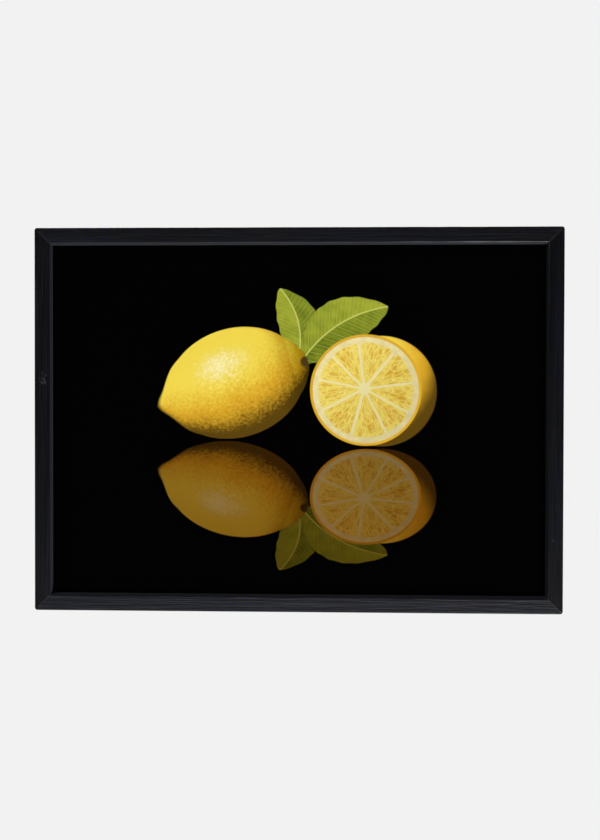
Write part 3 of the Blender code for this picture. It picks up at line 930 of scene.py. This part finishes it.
def printed_sheet():
    """Ink on heavy matt paper: even, deep blacks and no gloss of its own."""
    material, shader, place = new_material("ink_on_matt_paper", Roughness=0.8, Specular_IOR_Level=0.0)
    place = add("VectorMath SUBTRACT", place, MIDDLE * MM_PER_UNIT)
    u, _, v = add("SeparateXYZ", place).node.outputs
    picture = TABLE_BLACK
    for table_line, *forms in STANDING_AT:
        point, tint = above_table(u, v, table_line)
        for draw, facts in forms:
            mask, colour = draw(point, **facts)
            colour = add("MixRGB MULTIPLY", 1.0, colour, tint)
            picture = add("MixRGB", mask, picture, colour)
    feed(shader, Base_Color=picture)
    return material


dress("art_print", printed_sheet())

# %% [markdown]
# ## The pane
#
# The pane is 2 mm clear acrylic, cast flat and polished. It barely shows: the print reads through it
# without a veil, and only at a slant does it catch some light. Fully transparent glass would throw a
# dark shadow in a path tracer, so the pane is a thin, nearly clear film of its own shader instead.

# %% Acrylic pane
CLEAN_FILM, DUSTY_FILM = "040404", "101010"


def clear_acrylic():
    """Cast acrylic: clear, smooth, with faint smears that only roughness shows."""
    material, shader, place = new_material("clear_cast_acrylic", IOR=1.49, Alpha=0.08)
    smear = add("TexNoise", place, Scale=0.018, Detail=3)
    dust = add("TexNoise", place, Scale=0.9, Detail=1)
    feed(
        shader,
        Roughness=add("MapRange", smear, 0.4, 0.7, 0.02, 0.09),
        Base_Color=add("MixRGB", add("MapRange", dust, 0.7, 0.8), CLEAN_FILM, DUSTY_FILM),
    )
    return material


dress("glazing", clear_acrylic())

# %% [markdown]
# ## The backing board
#
# Hardboard is wood fibre pressed into a 3 mm sheet. Its hidden face is smooth and the one that shows
# is pressed against a wire screen, which leaves a fine grid of dimples. Flecks of darker bark and
# paler fibre lie in it in every direction.

# %% Hardboard
SCREEN_PITCH = 1.7  # millimetres between the screen's wires
FIBRE_DARK, FIBRE_LIGHT = "4A3120", "8A6443"
FLECKS = ((0.62, 0.7, 0.7, "2E1D12"), (0.36, 0.3, 0.45, "B08E66"))  # dark bark and pale fibre


def pressed_hardboard():
    """Hardboard: matt brown fibre with flecks, and a screen's dimples on its rough side."""
    material, shader, place = new_material("pressed_hardboard", Roughness=0.82, IOR=1.5)
    cloud = add("TexNoise", place, Scale=0.018, Detail=3)
    fibre = add("TexNoise", place, Scale=0.5, Detail=6, Roughness=0.7, Distortion=0.8)
    fleck = add("TexNoise", place, Scale=0.9, Detail=2)
    share = add("Math MULTIPLY_ADD", cloud, 0.5, add("Math MULTIPLY", fibre, 0.6))
    colour = add("MixRGB", add("MapRange", share, 0.35, 0.72), FIBRE_DARK, FIBRE_LIGHT)
    for none, all_over, most, shade in FLECKS:
        colour = add("MixRGB", add("MapRange", fleck, none, all_over, 0, most), colour, shade)
    x, _, z = add("SeparateXYZ", place).node.outputs
    wires = [add("Math SINE", add("Math MULTIPLY", axis, math.tau / SCREEN_PITCH)) for axis in (x, z)]
    screen = add("Math MULTIPLY", *wires)
    # Darker in the screen's dimples and lighter on its ridges: painted shade and light that follow the
    # relief.
    dimple_shade = add("MapRange", screen, -1, 1, 0.82, 1.08)
    colour = add("VectorMath SCALE", colour, Scale=dimple_shade)
    height = add("Math MULTIPLY_ADD", screen, 0.5, fibre)
    relief = add("Bump", Strength=0.7, Distance=0.15 * MM, Height=height)
    feed(shader, Base_Color=colour, Normal=relief)
    return material


dress("backing_board", pressed_hardboard())

# %% [markdown]
# ## Steel fittings
#
# Tabs, hangers, nails and wedges are mild steel with a bright zinc plating: metal, bluish white, with
# fine drawn lines from rolling and a little dullness in patches. Each kind is modelled once, lying as
# if on the top rail: X runs along the rail, Y counts back from the front face, and the outer edge is
# at zero. Copies are then carried to their rails, each in its own mesh.

# %% Zinc-plated steel
STEEL_SLOT = "zinc_plated_steel"
ZINC_DULL, ZINC_BRIGHT = "A3A9B0", "D2D6DA"
ROLLING_LINES = (0.25, 3.0, 5.0)  # per millimetre, along X, Y and Z
BOTH_ENDS = (("a", -1), ("b", 1))


def zinc_plated_steel():
    """Bright zinc on rolled steel: metal, cool white, finely lined, dull in soft patches."""
    material, shader, place = new_material("zinc_plated_steel", Metallic=1.0)
    lines_place = add("VectorMath MULTIPLY", place, ROLLING_LINES)
    lines = add("TexNoise", lines_place, Scale=1, Detail=3, Roughness=0.6)
    patches = add("TexNoise", place, Scale=0.35, Detail=4)
    feed(
        shader,
        Base_Color=add("MixRGB", add("MapRange", patches, 0.3, 0.7), ZINC_DULL, ZINC_BRIGHT),
        Roughness=add("MapRange", add("Math ADD", lines, patches), 0.7, 1.3, 0.22, 0.46),
        Normal=add("Bump", Strength=0.4, Distance=0.03 * MM, Height=lines),
    )
    return material


def on_rail(rail, along, inward=0.0):
    """Where a place along a rail, and inward from its outer edge, lies, and how the rail is turned."""
    turn = Matrix.Rotation(math.radians(rail.turn), 4, "Y")
    return MIDDLE + turn @ Vector((along, 0, rail.edge - inward)), rail.turn


def fit_copies(pattern, prefix, spots, material, slot):
    """Copies a pattern to every spot, in place of the solid there, and removes the pattern."""
    for node, place, turn in spots:
        piece = place_copy(pattern, prefix + node, place, turn)
        finish_piece(piece, material, slot, node)
        print_fit(piece, node)
    bpy.data.objects.remove(pattern)


def ease_edges(piece, width):
    """Rounds every sharp edge of a piece a little, as stamping and plating do."""
    bevel = piece.modifiers.new("eased_edges", "BEVEL")
    bevel.width = width
    bevel.segments = 2
    bevel.limit_method = "ANGLE"
    bevel.angle_limit = math.radians(35)
    apply_modifiers(piece)


def shift(rule):
    """Moves every vertex of the open mesh by what the rule gives for its place."""
    shape = bmesh.from_edit_mesh(bpy.context.object.data)
    for vertex in shape.verts:
        vertex.co += Vector(rule(vertex.co))
    bmesh.update_edit_mesh(bpy.context.object.data)


def round_corners(is_corner, radius):
    """Bevels the through-thickness edges at a plate's chosen corners to a radius."""
    def is_corner_edge(edge):
        a, b = (vertex.co for vertex in edge.verts)
        through = abs(a.x - b.x) < 1e-6 and abs(a.z - b.z) < 1e-6
        return through and is_corner(a)
    pick("EDGE", is_corner_edge)
    bevel_edges(radius, 6)


steel = zinc_plated_steel()
print("steel ready")

# %% [markdown]
# A bendable tab is a strip driven into the rebate's wall. It lies on the board, and its last part is
# bent up so that a finger can lift it. A few cuts across the strip let the bend be a curve.

# %% Bendable tabs
TAB_WIDTH = 6 * MM
TAB_THICKNESS = 0.6 * MM
TAB_ROOT = 4.3 * MM
TAB_REACH = 20 * MM
TAB_TIP_LENGTH = 2.5 * MM
TAB_TIP_RISE = 0.7 * MM
TAB_CORNER_RADIUS = 1.4 * MM
TAB_CUTS = 8  # across the tip, so that it can bend
TAB_EASE = 0.08 * MM
TAB_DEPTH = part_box("tab_top_1")[0][1] - FRONT_Y
TABS = dict(top=3, bottom=3, left=2, right=2)


def model_tab():
    tab = block("tab_pattern", (-TAB_WIDTH / 2, TAB_DEPTH, -TAB_REACH),
                (TAB_WIDTH / 2, TAB_DEPTH + TAB_THICKNESS, -TAB_ROOT))
    edit(tab)
    round_corners(lambda corner: corner.z < -TAB_REACH + 1e-5, TAB_CORNER_RADIUS)
    bend_start = TAB_REACH - TAB_TIP_LENGTH
    for cut in range(TAB_CUTS):
        slice_off((0, 0, -(bend_start + cut * TAB_TIP_LENGTH / TAB_CUTS)), (0, 0, 1), keep_both=True)

    def bend(place):
        share = max(-place.z - bend_start, 0) / TAB_TIP_LENGTH
        return (0, TAB_TIP_RISE * share ** 1.4, 0)
    shift(bend)
    ease_edges(tab, TAB_EASE)
    return tab


spots = [
    ("tab_%s_%d" % (rail.name, number + 1),
     *on_rail(rail, (number + 0.5) * rail.length / TABS[rail.name] - rail.length / 2))
    for rail in RAILS for number in range(TABS[rail.name])
]
fit_copies(model_tab(), "steel_", spots, steel, STEEL_SLOT)

# %% [markdown]
# A saw-tooth hanger is a stamped strip. Its flat ends are nailed down and its middle stands off the
# wood so that the wall nail's head fits behind it. The teeth are made as a modeller would: the strip
# is cut across at every half pitch, and every second point of the lower edge is pushed up.

# %% Saw-tooth hangers
HANGER_LENGTH = 42 * MM
HANGER_THICKNESS = 0.8 * MM
HANGER_TOP = 0.8 * MM
HANGER_TIPS = 8.4 * MM
TOOTH_HEIGHT = 1.4 * MM
TOOTH_PITCH = 2.4 * MM
TEETH = 10
RAISED_HALF = 12 * MM
SLOPE_LENGTH = 2 * MM
SLOPE_CUTS = 6
HANGER_CORNER_RADIUS = 1.5 * MM
HANGER_EASE = 0.1 * MM
HANGER_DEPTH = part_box("hanger_top")[0][1] - FRONT_Y
HANGER_RISE = HIGH.y - HANGER_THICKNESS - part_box("hanger_top")[0][1]


def model_hanger():
    half = HANGER_LENGTH / 2
    hanger = block("hanger_pattern", (-half, HANGER_DEPTH, -HANGER_TIPS),
                   (half, HANGER_DEPTH + HANGER_THICKNESS, -HANGER_TOP))
    edit(hanger)
    round_corners(lambda corner: abs(corner.x) > half - 1e-5, HANGER_CORNER_RADIUS)
    cuts = [step * TOOTH_PITCH / 2 for step in range(1 - TEETH, TEETH)]
    cuts += [side * (RAISED_HALF + part * SLOPE_LENGTH / SLOPE_CUTS)
             for part in range(SLOPE_CUTS + 1) for side in (-1, 1)]
    for cut in cuts:
        slice_off((cut, 0, 0), (1, 0, 0), keep_both=True)

    def is_notch(vertex):
        step = vertex.co.x / (TOOTH_PITCH / 2)
        inside = abs(step) < TEETH - 0.5 and abs(step - round(step)) < 0.01
        return inside and round(step) % 2 == 0 and vertex.co.z < -HANGER_TIPS + 1e-5
    notches = pick("VERT", is_notch)
    bpy.ops.transform.translate(value=(0, 0, TOOTH_HEIGHT))

    def raise_middle(place):
        share = min(max((RAISED_HALF + SLOPE_LENGTH - abs(place.x)) / SLOPE_LENGTH, 0), 1)
        return (0, HANGER_RISE * share * share * (3 - 2 * share), 0)
    shift(raise_middle)
    ease_edges(hanger, HANGER_EASE)
    print("notches pushed up:", notches // 2)
    return hanger


HANGING_RAILS = [rail for rail in RAILS if rail.name in ("top", "left")]
spots = [("hanger_" + rail.name, *on_rail(rail, 0)) for rail in HANGING_RAILS]
fit_copies(model_hanger(), "saw_tooth_", spots, steel, STEEL_SLOT)

# %% [markdown]
# Each hanger is held by two round-headed nails. A nail is a cylinder for the head, with its rim
# bevelled to a dome, from which the shank is drawn out by inset and extrude and then pointed.

# %% Nails
NAIL_HEAD_RADIUS = 1.6 * MM
NAIL_SHANK_RADIUS = 0.65 * MM
NAIL_HEAD_THICKNESS = 0.7 * MM
NAIL_DOME = 0.45 * MM
NAIL_POINT_LENGTH = 1.5 * MM
NAIL_POINT = 0.12  # of the shank's width
NAIL_SPACING = 35 * MM
NAIL_LINE = 4.6 * MM
NAIL_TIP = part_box("hanger_nail_top_a")[0][1] - FRONT_Y
NAIL_HEAD_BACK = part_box("hanger_nail_top_a")[1][1] - FRONT_Y


def model_nail():
    head_front = NAIL_HEAD_BACK - NAIL_HEAD_THICKNESS
    nail = lying_cylinder("nail_pattern", NAIL_HEAD_RADIUS, head_front, NAIL_HEAD_BACK, 32)
    edit(nail)
    pick_back_rim(NAIL_HEAD_BACK)
    bevel_edges(NAIL_DOME, 5)
    pick("FACE", lambda face: face.normal.y < -0.9)
    bpy.ops.mesh.inset(thickness=NAIL_HEAD_RADIUS - NAIL_SHANK_RADIUS)
    tip_start = NAIL_TIP + NAIL_POINT_LENGTH
    for length in (tip_start - head_front, NAIL_TIP - tip_start):
        extrude_by(0, length, 0)
    bpy.ops.transform.resize(value=(NAIL_POINT, 1, NAIL_POINT))
    choose()
    return nail


spots = [
    ("hanger_nail_%s_%s" % (rail.name, label),
     *on_rail(rail, side * NAIL_SPACING / 2, NAIL_LINE))
    for rail in HANGING_RAILS for label, side in BOTH_ENDS
]
fit_copies(model_nail(), "round_head_", spots, steel, STEEL_SLOT)

# %% [markdown]
# The wedges that hold the mitres go into the slots cut for them, a little below the wood.

# %% Corner wedges
pattern = model_wedge("wedge_pattern", 0, WEDGE_BACK)
ease_edges(pattern, WEDGE_EASE)
spots = [
    ("corner_wedge_%s_%s" % (rail.name, label),
     on_rail(rail, side * rail.length / 2)[0], rail.turn + WEDGE_TURNS[side])
    for rail in RAILS[:2] for label, side in BOTH_ENDS
]
fit_copies(pattern, "steel_", spots, steel, STEEL_SLOT)

# %% [markdown]
# ## Felt pads
#
# Four pressed wool felt discs keep the back off the wall. Felt has no weave: it is a mat of fine
# fibres, grey with lighter and darker hairs, and its surface and cut edge are slightly uneven. The
# disc is divided finely and given that unevenness as relief.

# %% Felt pads
FELT_DARK, FELT_LIGHT = "55565A", "8E9094"
PAD_RADIUS = 3.6 * MM
PAD_RIM = 0.35 * MM
PAD_RINGS, PAD_RING_WIDTH = 7, 0.42 * MM
PAD_LAYERS, PAD_LAYER_DEPTH = 5, 0.36 * MM
FUZZ_SIZE = Vector((0.5, 0.5, 0.5)) * MM
FUZZ_DEPTH = 0.14 * MM
PAD_FROM_CORNER = 26 * MM
PAD_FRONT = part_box("wall_pad_top_a")[0][1] - FRONT_Y
PAD_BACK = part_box("wall_pad_top_a")[1][1] - FRONT_Y


def grey_felt():
    """Pressed wool felt: soft matt grey, hairy, with a faint bright fuzz at its edge."""
    material, shader, place = new_material("grey_wool_felt", Roughness=1.0, Sheen_Weight=0.4,
                                           Sheen_Roughness=0.5)
    hairs = add("TexNoise", place, Scale=2.2, Detail=6, Roughness=0.75, Distortion=1.2)
    feed(
        shader,
        Base_Color=add("MixRGB", add("MapRange", hairs, 0.35, 0.65), FELT_DARK, FELT_LIGHT),
        Normal=add("Bump", Strength=0.8, Distance=0.15 * MM, Height=hairs),
    )
    return material


def model_pad():
    pad = lying_cylinder("pad_pattern", PAD_RADIUS, PAD_FRONT, PAD_BACK, 48)
    edit(pad)
    pick_back_rim(PAD_BACK)
    bevel_edges(PAD_RIM, 3)
    pick("FACE", lambda face: face.normal.y > 0.9 and len(face.verts) > 4)
    for _ in range(PAD_RINGS):
        bpy.ops.mesh.inset(thickness=PAD_RING_WIDTH)
    for cut in range(1, PAD_LAYERS):
        slice_off((0, PAD_FRONT + cut * PAD_LAYER_DEPTH, 0), (0, 1, 0), keep_both=True)
    press_in(pad, "felt_fuzz", FUZZ_SIZE, FUZZ_DEPTH, 5, 1.5)
    return pad


spots = [
    ("wall_pad_%s_%s" % (rail.name, label),
     *on_rail(rail, side * (rail.length / 2 - PAD_FROM_CORNER), REBATE_WALL / 2))
    for rail in RAILS[:2] for label, side in BOTH_ENDS
]
fit_copies(model_pad(), "felt_", spots, grey_felt(), "grey_felt")
